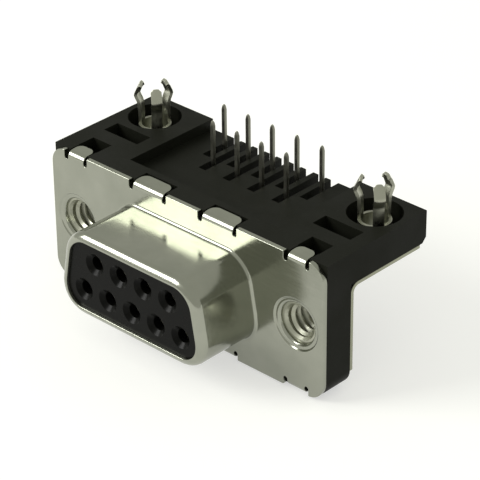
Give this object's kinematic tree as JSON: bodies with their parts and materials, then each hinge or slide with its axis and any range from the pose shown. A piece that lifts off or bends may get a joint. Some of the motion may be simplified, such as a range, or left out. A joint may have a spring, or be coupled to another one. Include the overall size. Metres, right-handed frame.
{
  "type": "d-sub connector",
  "caption": "Right-angle D-sub receptacle for a circuit board, with a plated keystone shell, black housing, turned-up solder tails, ground brackets, board locks and threaded inserts.",
  "frame": {"origin": "under the middle of the whole part's box, level with the lower edge of the flange", "axes": "+X along the flange, +Y from the mating face back towards the tails, +Z towards the circuit board; the plug leaves along -Y"},
  "size_m": [0.0308, 0.0188, 0.0158],
  "materials": {
    "shell_plating": "bright tin-plated drawn steel",
    "insulator_plastic": "moulded glass-filled polyester, satin",
    "housing_plastic": "moulded glass-filled polyester, satin",
    "contact_tin": "tinned copper alloy, dull",
    "bracket_tin": "tinned strip",
    "lock_tin": "bright tinned spring alloy",
    "insert_plating": "nickel-plated turned alloy"
  },
  "bodies": {
    "root": {"front_shell": "shell_plating", "front_insulator": "insulator_plastic", "rear_housing": "housing_plastic", "contact_1": "contact_tin", "contact_2": "contact_tin", "contact_3": "contact_tin", "contact_4": "contact_tin", "contact_5": "contact_tin", "contact_6": "contact_tin", "contact_7": "contact_tin", "contact_8": "contact_tin", "contact_9": "contact_tin", "ground_bracket_left": "bracket_tin", "ground_bracket_right": "bracket_tin", "boardlock_left": "lock_tin", "boardlock_right": "lock_tin", "threaded_insert_left": "insert_plating", "threaded_insert_right": "insert_plating"}
  },
  "joints": []
}
